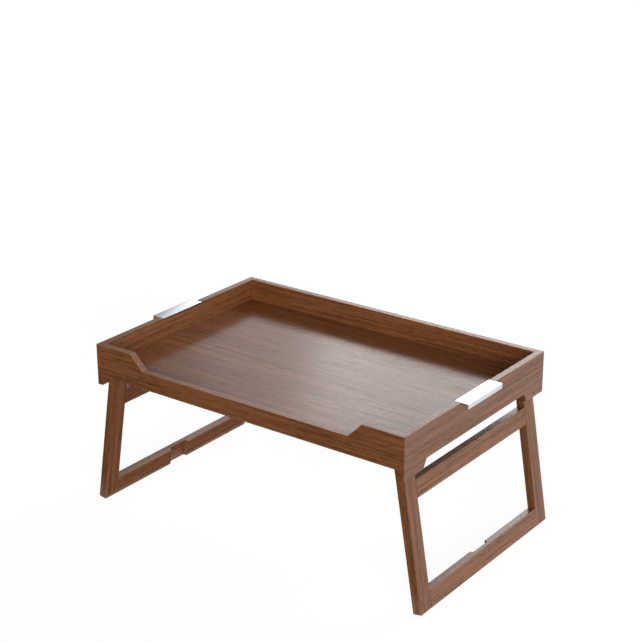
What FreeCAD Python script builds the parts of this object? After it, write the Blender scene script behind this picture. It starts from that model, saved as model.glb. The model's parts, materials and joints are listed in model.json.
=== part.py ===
"""Folding bed tray table in walnut.

A mitred tray, 600 x 400 mm and lower at the front, stands on two leg frames.  Each frame turns on
two bolts inside the tray's skirt and folds inwards to lie flat under the floor.  Opened, it splays
outwards until it rests on the bevelled ears at the foot of the side board.  A steel plate in the
rim of each side board is the carrying handle.

Row frame: +X right, -Y the low front, +Z up, origin under the tray's centre on the standing plane.
Leg frame pieces are drawn upright about their pivot line, then splayed by their Placement.
"""
import FreeCAD, Part
import os
import re

import Sketcher
from FreeCAD import Placement, Rotation, Vector

SHEET = "Dims"
DRIVING = [
    # tray
    ("tray_width", 600, "outside of the side boards"),
    ("tray_depth", 400, "outside of the front and back boards"),
    ("rim_height", 290, "standing plane to the rim"),
    ("board_thick", 12, "all four tray boards"),
    ("skirt_drop", 55, "rim to the lower edge of the boards"),
    ("ear_drop", 70, "rim to the foot of the ears"),
    ("ear_length", 51, "length of an ear's foot, along the side board"),
    ("ear_slope", 8, "run of the slope beside an ear"),
    ("ear_fillet", 5, "hollow where that slope meets the lower edge"),
    ("dip_width", 400, "flat of the low front edge"),
    ("dip_drop", 25, "rim to the low front edge, sloped at 45 degrees"),
    ("edge_break", 0.8, "small chamfer on the edges of the tray boards"),
    ("floor_drop", 36, "rim to the tray floor"),
    ("floor_thick", 6, "floor panel"),
    ("tongue_drop", 1.5, "top of the panel down to the tongue round it"),
    ("field_gap", 1, "shadow gap between the boards and the panel above its tongue"),
    ("groove_depth", 6, "groove for the tongue in each board"),
    ("panel_play", 0.5, "room for the panel to move in the groove"),
    ("glue_play", 0.05, "glue line round fitted pieces"),
    # splines in the mitres
    ("spline_thick", 3, ""),
    ("spline_width", 11, "across the mitre"),
    ("spline_height", 26, ""),
    ("spline_drop", 6, "rim to the top of the spline"),
    # handles
    ("plate_length", 100, ""),
    ("plate_reach", 24, "inner edge to the outside of the lip"),
    ("plate_thick", 3, ""),
    ("plate_bend", 1.2, "outer radius where the lip turns down"),
    ("plate_break", 0.4, "small chamfer on the edges of the ends"),
    ("lip_drop", 8.4, "rim to the lower edge of the lip"),
    ("rebate_play", 0.6, "between a plate's end and its rebate"),
    ("stud_radius", 2, ""),
    ("stud_length", 12, "below the plate"),
    ("stud_spacing", 64, ""),
    ("stud_room", 1, "hole left below a stud"),
    # leg frames
    ("splay", 9.4, "lean of an opened frame, degrees"),
    ("pivot_inset", 21.1, "outside of the tray to the pivot line"),
    ("pivot_drop", 50, "rim to the pivot line"),
    ("leg_thick", 15, "stock of uprights and rails"),
    ("leg_break", 0.8, "small chamfer on the edges of the leg frames"),
    ("stop_play", 0.15, "ear to the opened frame"),
    ("side_play", 1.3, "board to the upright, room for the washer"),
    ("upright_width", 29, ""),
    ("upper_drop", 36.9, "pivot line to the upper rail"),
    ("upper_height", 29, ""),
    ("bottom_height", 30, ""),
    ("scoop_width", 44, "mouth of the finger notch"),
    ("scoop_floor", 40, "bottom of the finger notch"),
    ("scoop_depth", 6.5, ""),
    ("tenon_thick", 5, "loose tenon in each joint of a leg frame"),
    ("tenon_height", 18, ""),
    ("tenon_length", 30, ""),
    ("tenon_room", 0.5, "left beyond each end of a tenon"),
    # pivots
    ("shoulder_radius", 3, "bolt, where the leg turns"),
    ("run_play", 0.05, "radial clearance of the bolt in its bush"),
    ("bush_radius", 4, ""),
    ("bolt_head_radius", 4.5, ""),
    ("bolt_head_thick", 3.2, ""),
    ("recess_play", 0.4, "round the bolt head"),
    ("recess_depth", 4, "for the bolt head"),
    ("seat_play", 0.1, "between faces that slide"),
    ("socket_radius", 1.75, "hexagon, centre to corner"),
    ("socket_depth", 2, ""),
    ("thread_radius", 2.5, ""),
    ("thread_length", 7.5, ""),
    ("insert_radius", 4, ""),
    ("insert_length", 8.5, ""),
    ("insert_waist", 3.4, "groove of the insert"),
    ("washer_radius", 7, ""),
]
ALIASES = {alias for alias, value, note in DRIVING}

SIDES = {"left": -1, "right": 1}
ENDS = {"front": -1, "back": 1}

# Heights and reaches that several pieces share, as formulas on the sheet.
HALF_W = "tray_width / 2"
HALF_D = "tray_depth / 2"
RIM = "rim_height"
INNER_X = "(tray_width / 2 - board_thick)"
INNER_Y = "(tray_depth / 2 - board_thick)"
SKIRT_Z = "(rim_height - skirt_drop)"
EAR_Z = "(rim_height - ear_drop)"
FLOOR_TOP = "(rim_height - floor_drop)"
TONGUE_TOP = "(rim_height - floor_drop - tongue_drop)"
PIVOT_X = "(tray_width / 2 - pivot_inset)"
PIVOT_Z = "(rim_height - pivot_drop)"
LEAN_SIN = "sin(splay * 1deg)"
LEAN_COS = "cos(splay * 1deg)"
# Pivot line to the foot's end, so that the lower corner of the foot's broken inner edge just
# meets the ground.
REACH = f"(({PIVOT_Z} - (leg_thick / 2 - leg_break) * {LEAN_SIN}) / {LEAN_COS})"
# Frames stand between the front and back boards with a washer's room at each end.
FRAME_Y = f"({INNER_Y} - side_play)"
RAIL_HALF = f"({FRAME_Y} - upright_width)"
STUD_REST = "(rim_height - plate_thick)"
# Heights in a leg frame, from its pivot line.
UPPER_MIDDLE = "-(upper_drop + upper_height / 2)"
BOTTOM_MIDDLE = f"-({REACH} - bottom_height / 2)"
MORTISE_DEPTH = "tenon_length / 2 + tenon_room"
# Places along a pivot line, outwards from the upright's inner face.
SEAT = "(recess_depth + seat_play)"
BOARD_FACE = "(upright_width + side_play)"

PAST = "1"          # a cut runs this far past the faces it starts and ends at
SAME_PLACE = 0.01   # points this close are one point
PARALLEL = 0.999    # cosine between directions that count as one
NO_VOLUME = 1e-6    # a feature that changes less than this has missed the solid
WAIST_BANDS = 3     # bands of a threaded insert, wide and narrow in turn

doc = FreeCAD.newDocument("BedTray")
sheet = doc.addObject("Spreadsheet::Sheet", SHEET)
for row, (alias, value, note) in enumerate(DRIVING, start=1):
    sheet.set(f"A{row}", alias)
    sheet.set(f"B{row}", str(value))
    sheet.set(f"C{row}", note)
    sheet.setAlias(f"B{row}", alias)
doc.recompute()

parts = []


def formula(text):
    """A formula on the sheet: every alias in the text gets the sheet's name before it."""
    def named(match):
        word = match.group(0)
        return f"{SHEET}.{word}" if word in ALIASES else word
    return re.sub(r"[A-Za-z_]+", named, text)


def bind(item, prop, text):
    item.setExpression(prop, formula(text))


def keep(item, name):
    """Label a finished sub-part and list it for the export."""
    item.Label = name
    parts.append(item)
    return item


def new_body(name):
    return keep(doc.addObject("PartDesign::Body", name), name)


def new_sketch(body, name, role, offset="0"):
    """An empty sketch on one of the body's origin planes, moved along its normal by the offset."""
    plane = next(item for item in body.Origin.OriginFeatures if item.Role == role)
    sketch = body.newObject("Sketcher::SketchObject", f"{body.Name}_{name}")
    sketch.AttachmentSupport = [(plane, "")]
    sketch.MapMode = "FlatFace"
    if offset != "0":
        bind(sketch, "AttachmentOffset.Base.z", offset)
    return sketch


def fix_point(sketch, geometry, point, place, tag):
    """Hold one point of the sketch at a pair of formulas, measured from the origin."""
    for kind, value, axis in (("DistanceX", place[0], "across"), ("DistanceY", place[1], "up")):
        index = sketch.addConstraint(Sketcher.Constraint(kind, -1, 1, geometry, point, 1.0))
        sketch.renameConstraint(index, f"{axis}_{tag}")
        bind(sketch, f"Constraints.{axis}_{tag}", value)


def add_outline(sketch, corners):
    """A closed outline of straight lines through corners given as pairs of formulas."""
    start = sketch.GeometryCount
    count = len(corners)
    seeds = [Rotation(Vector(0, 0, 1), 360 * step / count).multVec(Vector(10, 0, 0))
             for step in range(count)]
    for step in range(count):
        sketch.addGeometry(Part.LineSegment(seeds[step], seeds[(step + 1) % count]), False)
    for step in range(count):
        following = start + (step + 1) % count
        sketch.addConstraint(Sketcher.Constraint("Coincident", start + step, 2, following, 1))
        fix_point(sketch, start + step, 1, corners[step], start + step)


def add_circle(sketch, centre, radius):
    """A circle whose centre and radius are formulas."""
    index = sketch.addGeometry(Part.Circle(Vector(0, 0, 0), Vector(0, 0, 1), 1), False)
    fix_point(sketch, index, 3, centre, index)
    size = sketch.addConstraint(Sketcher.Constraint("Radius", index, 1.0))
    sketch.renameConstraint(size, f"radius_{index}")
    bind(sketch, f"Constraints.radius_{index}", radius)


def rectangle(low_x, low_y, high_x, high_y):
    return [(low_x, low_y), (high_x, low_y), (high_x, high_y), (low_x, high_y)]


def extrude(body, kind, sketch, length, flip=False, both=False):
    """Pad or Pocket a sketch.  A Pad follows the sketch's normal and a Pocket goes against it."""
    before = body.Shape.Volume if body.Tip else 0.0
    feature = body.newObject(f"PartDesign::{kind}", f"{sketch.Name}_{kind.lower()}")
    feature.Profile = sketch
    if length == "through":
        feature.Type = "ThroughAll"
    else:
        bind(feature, "Length", length)
    feature.Reversed = flip
    feature.SideType = "Symmetric" if both else "One side"
    sketch.Visibility = False
    doc.recompute()
    gain = body.Shape.Volume - before
    if (gain > 0) != (kind == "Pad") or abs(gain) < NO_VOLUME:
        raise RuntimeError(f"{feature.Name} changed the volume by {gain}")
    return feature


def ease(body, kind, size, names):
    """Fillet or Chamfer the borders of the named faces or edges on the body's present tip."""
    base = body.Tip
    feature = body.newObject(f"PartDesign::{kind}", f"{body.Name}_ease_{len(body.Group)}")
    feature.Base = (base, names)
    bind(feature, "Radius" if kind == "Fillet" else "Size", size)
    doc.recompute()
    if "Up-to-date" not in feature.State:
        raise RuntimeError(f"{feature.Name}: {feature.State}")
    return feature


def faces_towards(body, direction):
    """Names of the flat faces whose normals lie along a direction, either way."""
    names = []
    for index, face in enumerate(body.Tip.Shape.Faces, start=1):
        if isinstance(face.Surface, Part.Plane):
            if abs(face.normalAt(0, 0).dot(direction)) > PARALLEL:
                names.append(f"Face{index}")
    return names


def anywhere(middle):
    return True


def edges_along(body, direction, wanted=anywhere):
    """Names of the straight edges along a direction whose middle point is wanted."""
    names = []
    for index, edge in enumerate(body.Tip.Shape.Edges, start=1):
        if isinstance(edge.Curve, Part.Line):
            run = edge.Vertexes[-1].Point - edge.Vertexes[0].Point
            run.normalize()
            if abs(run.dot(direction)) > PARALLEL and wanted(edge.CenterOfMass):
                names.append(f"Edge{index}")
    return names


def signed(sign, text):
    return text if sign > 0 else f"-({text})"


# ---------------------------------------------------------------- tray boards


def cut_mitre(body, name, plan, drop):
    """Take a corner wedge off a board, from above the rim down to a depth below it."""
    sketch = new_sketch(body, name, "XY_Plane", f"{RIM} + {PAST}")
    add_outline(sketch, plan)
    extrude(body, "Pocket", sketch, f"{drop} + {PAST}")


def corner_wedge(side, end, of_side_board):
    """Plan of the waste beyond the 45 degree mitre, a little larger than the board."""
    tip = (f"{HALF_W} + {PAST}", f"{HALF_D} + {PAST}")
    inner = (f"{HALF_W} - board_thick - {PAST}", f"{HALF_D} - board_thick - {PAST}")
    waste = (inner[0], tip[1]) if of_side_board else (tip[0], inner[1])
    return [(signed(side, across), signed(end, along)) for across, along in (tip, inner, waste)]


def spline_plan(side, end, play):
    """Plan of a spline across the mitre: a rectangle turned by 45 degrees."""
    middle_x = f"{HALF_W} - board_thick / 2"
    middle_y = f"{HALF_D} - board_thick / 2"
    long_run = f"(spline_width / 2 + {play}) / sqrt(2)"
    short_run = f"(spline_thick / 2 + {play}) / sqrt(2)"
    corners = []
    for along, over in ((1, 1), (1, -1), (-1, -1), (-1, 1)):
        # The long way runs square to the mitre, the short way along it.
        across = f"{middle_x} + ({along}) * {long_run} + ({over}) * {short_run}"
        depth = f"{middle_y} + ({-along}) * {long_run} + ({over}) * {short_run}"
        corners.append((signed(side, across), signed(end, depth)))
    return corners


def cut_spline_slot(body, side, end):
    sketch = new_sketch(body, f"slot{side + 1}{end + 1}", "XY_Plane",
                        f"{RIM} - spline_drop + glue_play")
    add_outline(sketch, spline_plan(side, end, "glue_play"))
    extrude(body, "Pocket", sketch, "spline_height + 2 * glue_play")


def cut_floor_groove(body, along_x, sign):
    """Groove for the floor panel along the inner face of a board."""
    sketch = new_sketch(body, "groove", "XY_Plane", f"{TONGUE_TOP} + glue_play")
    inner, half = (INNER_Y, HALF_W) if along_x else (INNER_X, HALF_D)
    near = f"{inner} - {PAST}"
    far = f"{inner} + groove_depth"
    low, high = (near, far) if sign > 0 else (f"-({far})", f"-({near})")
    if along_x:
        plan = rectangle(f"-{half}", low, half, high)
    else:
        # Stops where the mitre stops, so that no groove shows at the ends.
        plan = rectangle(low, f"-{half} + board_thick / 2", high, f"{half} - board_thick / 2")
    add_outline(sketch, plan)
    extrude(body, "Pocket", sketch, "floor_thick - tongue_drop + 2 * glue_play")


def front_profile():
    """The front board seen from the front: a low middle between two 45 degree shoulders."""
    low = f"{RIM} - dip_drop"
    shoulder = "dip_width / 2 + dip_drop"
    return [(f"-{HALF_W}", SKIRT_Z), (HALF_W, SKIRT_Z), (HALF_W, RIM), (shoulder, RIM),
            ("dip_width / 2", low), ("-dip_width / 2", low), (f"-({shoulder})", RIM),
            (f"-{HALF_W}", RIM)]


def cross_board(end_name):
    """Front or back board: padded inwards from its outer face, eased, mitred and grooved."""
    end = ENDS[end_name]
    body = new_body(f"{end_name}_board")
    outline = new_sketch(body, "outline", "XZ_Plane", signed(-end, HALF_D))
    if end_name == "front":
        add_outline(outline, front_profile())
    else:
        add_outline(outline, rectangle(f"-{HALF_W}", SKIRT_Z, HALF_W, RIM))
    extrude(body, "Pad", outline, "board_thick", flip=end < 0)
    ease(body, "Chamfer", "edge_break", faces_towards(body, Vector(0, 1, 0)))
    for side_name, side in SIDES.items():
        cut_mitre(body, f"mitre_{side_name}", corner_wedge(side, end, False),
                  f"skirt_drop + {PAST}")
        cut_spline_slot(body, side, end)
    cut_floor_groove(body, True, end)
    seats = new_sketch(body, "insert_seats", "XZ_Plane", signed(-end, INNER_Y))
    for side in SIDES.values():
        add_circle(seats, (signed(side, PIVOT_X), PIVOT_Z), "insert_radius + glue_play")
    extrude(body, "Pocket", seats, "insert_length + glue_play", flip=end < 0)
    return body


def side_profile():
    """A side board seen from the side: an ear at each end hangs below the lower edge."""
    foot = f"{HALF_D} - ear_length"
    notch = f"{HALF_D} - ear_length - ear_slope"
    return [(f"-{HALF_D}", EAR_Z), (f"-({foot})", EAR_Z), (f"-({notch})", SKIRT_Z),
            (notch, SKIRT_Z), (foot, EAR_Z), (HALF_D, EAR_Z), (HALF_D, RIM), (f"-{HALF_D}", RIM)]


def cut_stop_bevel(body, side):
    """Bevel the inner foot of both ears to the lean of the opened leg frame."""
    sketch = new_sketch(body, "stop_bevel", "XZ_Plane")
    reach = "(leg_thick / 2 + stop_play)"
    inset = "(pivot_inset - board_thick)"
    top = f"({PIVOT_Z} - ({inset} * {LEAN_COS} - {reach}) / {LEAN_SIN})"
    foot = f"({EAR_Z} - {PAST})"
    foot_x = f"({PIVOT_X} + ({reach} + ({PIVOT_Z} - {foot}) * {LEAN_SIN}) / {LEAN_COS})"
    waste_x = f"{INNER_X} - {PAST}"
    corners = [(INNER_X, top), (foot_x, foot), (waste_x, foot), (waste_x, top)]
    add_outline(sketch, [(signed(side, across), up) for across, up in corners])
    extrude(body, "Pocket", sketch, f"tray_depth + 2 * {PAST}", both=True)


def side_board(side_name):
    """Side board with ears, mitres, floor groove, handle rebate and leg stops."""
    side = SIDES[side_name]
    body = new_body(f"{side_name}_side_board")
    outline = new_sketch(body, "outline", "YZ_Plane", signed(side, HALF_W))
    add_outline(outline, side_profile())
    extrude(body, "Pad", outline, "board_thick", flip=side > 0)
    hollow_y = float(sheet.tray_depth) / 2 - float(sheet.ear_length) - float(sheet.ear_slope)

    def in_hollow(middle):
        return abs(abs(middle.y) - hollow_y) < SAME_PLACE

    ease(body, "Fillet", "ear_fillet", edges_along(body, Vector(1, 0, 0), in_hollow))
    ease(body, "Chamfer", "edge_break", faces_towards(body, Vector(1, 0, 0)))
    for end_name, end in ENDS.items():
        # Below the front and back boards the ear stays whole to the corner.
        cut_mitre(body, f"mitre_{end_name}", corner_wedge(side, end, True), "skirt_drop")
        cut_spline_slot(body, side, end)
    cut_floor_groove(body, False, side)
    cut_stop_bevel(body, side)
    rebate = new_sketch(body, "rebate", "XZ_Plane")
    near = f"{INNER_X} - {PAST}"
    far = f"{HALF_W} + {PAST}"
    low, high = (near, far) if side > 0 else (f"-({far})", f"-({near})")
    add_outline(rebate, rectangle(low, STUD_REST, high, f"{RIM} + {PAST}"))
    extrude(body, "Pocket", rebate, "plate_length + 2 * rebate_play", both=True)
    bores = new_sketch(body, "stud_bores", "XY_Plane", STUD_REST)
    for end in ENDS.values():
        place = (signed(side, f"{HALF_W} - board_thick / 2"), signed(end, "stud_spacing / 2"))
        add_circle(bores, place, "stud_radius + glue_play")
    extrude(body, "Pocket", bores, "stud_length + stud_room")
    return body


def tray_floor():
    """Floor panel: a tongue in the grooves of the boards, and a raised field between them."""
    body = new_body("tray_floor")
    steps = (("tongue", TONGUE_TOP, "groove_depth - panel_play", "floor_thick - tongue_drop", True),
             ("field", TONGUE_TOP, "-field_gap", "tongue_drop", False))
    for name, level, reach, thick, downwards in steps:
        sketch = new_sketch(body, name, "XY_Plane", level)
        half_x = f"({INNER_X} + {reach})"
        half_y = f"({INNER_Y} + {reach})"
        add_outline(sketch, rectangle(f"-{half_x}", f"-{half_y}", half_x, half_y))
        extrude(body, "Pad", sketch, thick, flip=downwards)
    return body


def grouped(name, items):
    """Identical small pieces as one named group of separate solids."""
    group = doc.addObject("Part::Compound", name)
    group.Links = items
    return keep(group, name)


def corner_splines():
    """Loose tongues glued across the four mitres, above the floor."""
    tongues = []
    for side_name, side in SIDES.items():
        for end_name, end in ENDS.items():
            body = doc.addObject("PartDesign::Body", f"{end_name}_{side_name}_spline")
            sketch = new_sketch(body, "outline", "XY_Plane", f"{RIM} - spline_drop")
            add_outline(sketch, spline_plan(side, end, "0"))
            extrude(body, "Pad", sketch, "spline_height", flip=True)
            tongues.append(body)
    return grouped("corner_splines", tongues)


# -------------------------------------------------------------------- handles


def handle_plate(side_name):
    """Steel plate flush with the rim: it reaches past the board and turns down into a lip."""
    side = SIDES[side_name]
    body = new_body(f"{side_name}_handle_plate")
    sketch = new_sketch(body, "section", "XZ_Plane")
    outer = f"{INNER_X} + plate_reach"
    under = f"{RIM} - plate_thick"
    lip = f"{RIM} - lip_drop"
    corners = [(INNER_X, RIM), (outer, RIM), (outer, lip), (f"{outer} - plate_thick", lip),
               (f"{outer} - plate_thick", under), (INNER_X, under)]
    add_outline(sketch, [(signed(side, across), up) for across, up in corners])
    extrude(body, "Pad", sketch, "plate_length", both=True)
    outer_x = float(sheet.tray_width) / 2 - float(sheet.board_thick) + float(sheet.plate_reach)
    bend = Vector(side * outer_x, 0, float(sheet.rim_height))

    def at_bend(middle):
        return middle.distanceToPoint(bend) < SAME_PLACE

    ease(body, "Fillet", "plate_bend", edges_along(body, Vector(0, 1, 0), at_bend))
    ease(body, "Chamfer", "plate_break", faces_towards(body, Vector(0, 1, 0)))
    return body


def stud(name, side, end):
    """One stud under a handle plate, glued into the top of the side board."""
    item = doc.addObject("Part::Cylinder", name)
    bind(item, "Radius", "stud_radius")
    bind(item, "Height", "stud_length")
    bind(item, "Placement.Base.x", signed(side, f"{HALF_W} - board_thick / 2"))
    bind(item, "Placement.Base.y", signed(end, "stud_spacing / 2"))
    bind(item, "Placement.Base.z", f"{STUD_REST} - stud_length")
    return item


# ----------------------------------------------------------------- leg frames


def stand(item, side):
    """Put a piece that is drawn about its pivot line in place, splayed outwards."""
    item.Placement = Placement(Vector(0, 0, 0), Rotation(Vector(0, 1, 0), 1))
    bind(item, "Placement.Base.x", signed(side, PIVOT_X))
    bind(item, "Placement.Base.z", PIVOT_Z)
    bind(item, "Placement.Rotation.Angle", signed(-side, "splay"))
    item.recompute()
    return item


def cut_mortises(body, name, face_offset, flip, rail_middles):
    """Square mortises for loose tenons, in a face square to the rails."""
    sketch = new_sketch(body, name, "XZ_Plane", face_offset)
    half_thick = "(tenon_thick / 2 + glue_play)"
    half_height = "(tenon_height / 2 + glue_play)"
    for middle in rail_middles:
        add_outline(sketch, rectangle(f"-{half_thick}", f"{middle} - {half_height}",
                                      half_thick, f"{middle} + {half_height}"))
    extrude(body, "Pocket", sketch, MORTISE_DEPTH, flip=flip)


def upright(side_name, end_name):
    """Upright: round top about the pivot, bush bore, bolt recess and mortises for the rails."""
    side = SIDES[side_name]
    end = ENDS[end_name]
    body = new_body(f"{side_name}_{end_name}_upright")
    outer_plane = signed(-end, FRAME_Y)
    stem = new_sketch(body, "stem", "XZ_Plane", outer_plane)
    add_outline(stem, rectangle("-leg_thick / 2", f"-{REACH}", "leg_thick / 2", "0"))
    extrude(body, "Pad", stem, "upright_width", flip=end < 0)
    crown = new_sketch(body, "crown", "XZ_Plane", outer_plane)
    add_circle(crown, ("0", "0"), "leg_thick / 2")
    extrude(body, "Pad", crown, "upright_width", flip=end < 0)
    foot_z = min(corner.Z for corner in body.Tip.Shape.Vertexes)

    def at_foot(middle):
        return middle.z < foot_z + SAME_PLACE

    foot_edges = edges_along(body, Vector(0, 1, 0), at_foot)
    ease(body, "Chamfer", "leg_break", faces_towards(body, Vector(0, 1, 0)) + foot_edges)
    bush_bore = new_sketch(body, "bush_bore", "XZ_Plane", outer_plane)
    add_circle(bush_bore, ("0", "0"), "bush_radius + glue_play")
    extrude(body, "Pocket", bush_bore, "upright_width", flip=end > 0)
    inner_plane = signed(-end, RAIL_HALF)
    recess = new_sketch(body, "bolt_recess", "XZ_Plane", inner_plane)
    add_circle(recess, ("0", "0"), "bolt_head_radius + recess_play")
    extrude(body, "Pocket", recess, "recess_depth", flip=end < 0)
    cut_mortises(body, "mortises", inner_plane, end < 0, (UPPER_MIDDLE, BOTTOM_MIDDLE))
    return stand(body, side)


def rail(side_name, level):
    """Rail between the uprights; the bottom one has the finger notch in its inner face."""
    side = SIDES[side_name]
    body = new_body(f"{side_name}_{level}_rail")
    section = new_sketch(body, "section", "XZ_Plane")
    if level == "upper":
        top, foot, middle = "-upper_drop", "-(upper_drop + upper_height)", UPPER_MIDDLE
    else:
        top, foot, middle = f"-({REACH} - bottom_height)", f"-{REACH}", BOTTOM_MIDDLE
    add_outline(section, rectangle("-leg_thick / 2", foot, "leg_thick / 2", top))
    extrude(body, "Pad", section, f"2 * {RAIL_HALF}", both=True)
    ease(body, "Chamfer", "leg_break", edges_along(body, Vector(0, 1, 0)))
    if level == "bottom":
        scoop = new_sketch(body, "finger_notch", "XY_Plane", f"-{REACH} - {PAST}")
        widen = f"{PAST} * (scoop_width - scoop_floor) / 2 / scoop_depth"
        mouth = f"(scoop_width / 2 + {widen})"
        mouth_x = f"-(leg_thick / 2 + {PAST})"
        floor_x = "-(leg_thick / 2 - scoop_depth)"
        plan = [(mouth_x, f"-{mouth}"), (mouth_x, mouth),
                (floor_x, "scoop_floor / 2"), (floor_x, "-scoop_floor / 2")]
        add_outline(scoop, [(signed(side, across), along) for across, along in plan])
        extrude(body, "Pocket", scoop, f"bottom_height + 2 * {PAST}", flip=True)
    for end_name, end in ENDS.items():
        cut_mortises(body, f"mortise_{end_name}", signed(-end, RAIL_HALF), end > 0, (middle,))
    return stand(body, side)


def frame_tenons(side_name):
    """A loose tenon in each of the frame's four joints, half in the upright, half in the rail."""
    tenons = []
    for level, middle in (("upper", UPPER_MIDDLE), ("bottom", BOTTOM_MIDDLE)):
        for end_name, end in ENDS.items():
            tenon = doc.addObject("Part::Box", f"{side_name}_{level}_{end_name}_tenon")
            bind(tenon, "Length", "tenon_thick")
            bind(tenon, "Width", "tenon_length")
            bind(tenon, "Height", "tenon_height")
            bind(tenon, "Placement.Base.x", "-tenon_thick / 2")
            bind(tenon, "Placement.Base.y", f"{signed(end, RAIL_HALF)} - tenon_length / 2")
            bind(tenon, "Placement.Base.z", f"{middle} - tenon_height / 2")
            tenons.append(tenon)
    return stand(grouped(f"{side_name}_frame_tenons", tenons), SIDES[side_name])


# --------------------------------------------------------------------- pivots


def turned(name, profile, side, end):
    """A turned piece on a pivot line: (radius, distance outwards from the upright's inner face)."""
    body = doc.addObject("PartDesign::Body", name)
    sketch = new_sketch(body, "profile", "YZ_Plane")
    points = [(signed(end, f"{RAIL_HALF} + ({out})"), radius) for radius, out in profile]
    add_outline(sketch, points)
    feature = body.newObject("PartDesign::Revolution", f"{name}_turn")
    feature.Profile = sketch
    feature.ReferenceAxis = (sketch, ["H_Axis"])
    feature.Angle = 360
    sketch.Visibility = False
    doc.recompute()
    bind(body, "Placement.Base.x", signed(side, PIVOT_X))
    bind(body, "Placement.Base.z", PIVOT_Z)
    doc.recompute()
    return body


def shoulder_bolt(side_name, end_name):
    """Shoulder bolt: head in the upright's recess, plain shoulder, thread in the insert."""
    end = ENDS[end_name]
    head_top = "recess_depth - bolt_head_thick"
    profile = [("0", head_top), ("bolt_head_radius", head_top), ("bolt_head_radius", "recess_depth"),
               ("shoulder_radius", "recess_depth"), ("shoulder_radius", BOARD_FACE),
               ("thread_radius", BOARD_FACE), ("thread_radius", f"{BOARD_FACE} + thread_length"),
               ("0", f"{BOARD_FACE} + thread_length")]
    body = turned(f"{side_name}_{end_name}_bolt", profile, SIDES[side_name], end)
    socket = new_sketch(body, "socket", "XZ_Plane",
                        signed(-end, f"{RAIL_HALF} + {head_top}"))
    corner = [(f"socket_radius * cos({turn}deg)", f"socket_radius * sin({turn}deg)")
              for turn in range(0, 360, 60)]
    add_outline(socket, corner)
    extrude(body, "Pocket", socket, "socket_depth", flip=end < 0)
    return body


def brass_bush(side_name, end_name):
    """Brass sleeve in the upright, on which the leg turns round the bolt's shoulder."""
    bore = "shoulder_radius + run_play"
    profile = [(bore, SEAT), ("bush_radius", SEAT), ("bush_radius", "upright_width"),
               (bore, "upright_width")]
    return turned(f"{side_name}_{end_name}_bush", profile, SIDES[side_name], ENDS[end_name])


def friction_washer(side_name, end_name):
    """Nylon washer between the upright and the board; its grip holds the frame folded."""
    near = "upright_width + seat_play"
    far = f"{BOARD_FACE} - seat_play"
    bore = "shoulder_radius + glue_play"
    profile = [(bore, near), ("washer_radius", near), ("washer_radius", far), (bore, far)]
    return turned(f"{side_name}_{end_name}_washer", profile, SIDES[side_name], ENDS[end_name])


def threaded_insert(side_name, end_name):
    """Brass insert in the blind bore of the board, waisted so that the glue keys into it."""
    bore = "thread_radius + glue_play"
    band = f"insert_length / {WAIST_BANDS}"
    profile = [(bore, BOARD_FACE)]
    for step in range(WAIST_BANDS):
        radius = "insert_radius" if step % 2 == 0 else "insert_waist"
        profile.append((radius, f"{BOARD_FACE} + {step} * {band}"))
        profile.append((radius, f"{BOARD_FACE} + {step + 1} * {band}"))
    profile.append((bore, f"{BOARD_FACE} + insert_length"))
    return turned(f"{side_name}_{end_name}_insert", profile, SIDES[side_name], ENDS[end_name])


HARDWARE = {"pivot_bolts": shoulder_bolt, "pivot_bushes": brass_bush,
            "friction_washers": friction_washer, "threaded_inserts": threaded_insert}


# ------------------------------------------------------------------- assembly

for name in ENDS:
    cross_board(name)
for name in SIDES:
    side_board(name)
tray_floor()
corner_splines()
for name, sign in SIDES.items():
    handle_plate(name)
    grouped(f"{name}_handle_studs", [stud(f"{name}_{end}_stud", sign, ENDS[end]) for end in ENDS])
    for level in ("upper", "bottom"):
        rail(name, level)
    frame_tenons(name)
    for end in ENDS:
        upright(name, end)
    for role, make in HARDWARE.items():
        grouped(f"{name}_{role}", [make(name, end) for end in ENDS])
doc.recompute()

for item in doc.Objects:
    if "Invalid" in item.State or "Error" in item.State:
        raise RuntimeError(f"{item.Name}: {item.State}")
for item in parts:
    if item.Shape.isNull() or not item.Shape.isValid():
        raise RuntimeError(f"{item.Label} has no valid shape")

os.makedirs("parts", exist_ok=True)
for item in parts:
    item.Shape.exportStep(f"parts/{item.Label}.step")
    box = item.Shape.BoundBox
    print(f"{item.Label:28s} {item.Shape.Volume / 1000:8.2f} cm3  z {box.ZMin:7.2f} .. {box.ZMax:7.2f}")
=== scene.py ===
"""Looks of a folding bed tray table in walnut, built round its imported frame.

The frame gives every board, rail, plate and bolt at its real size.  This file eases the arrises of
the woodwork, turns the hardware in full detail, finishes each piece and sets up the studio.
Everything is in metres: +X to the right, -Y towards the low front board, +Z up.
"""
import json
import math

import bmesh
import bpy
import numpy as np
from bpy.props import FloatProperty, FloatVectorProperty, PointerProperty
from mathutils import Matrix, Vector


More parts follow.
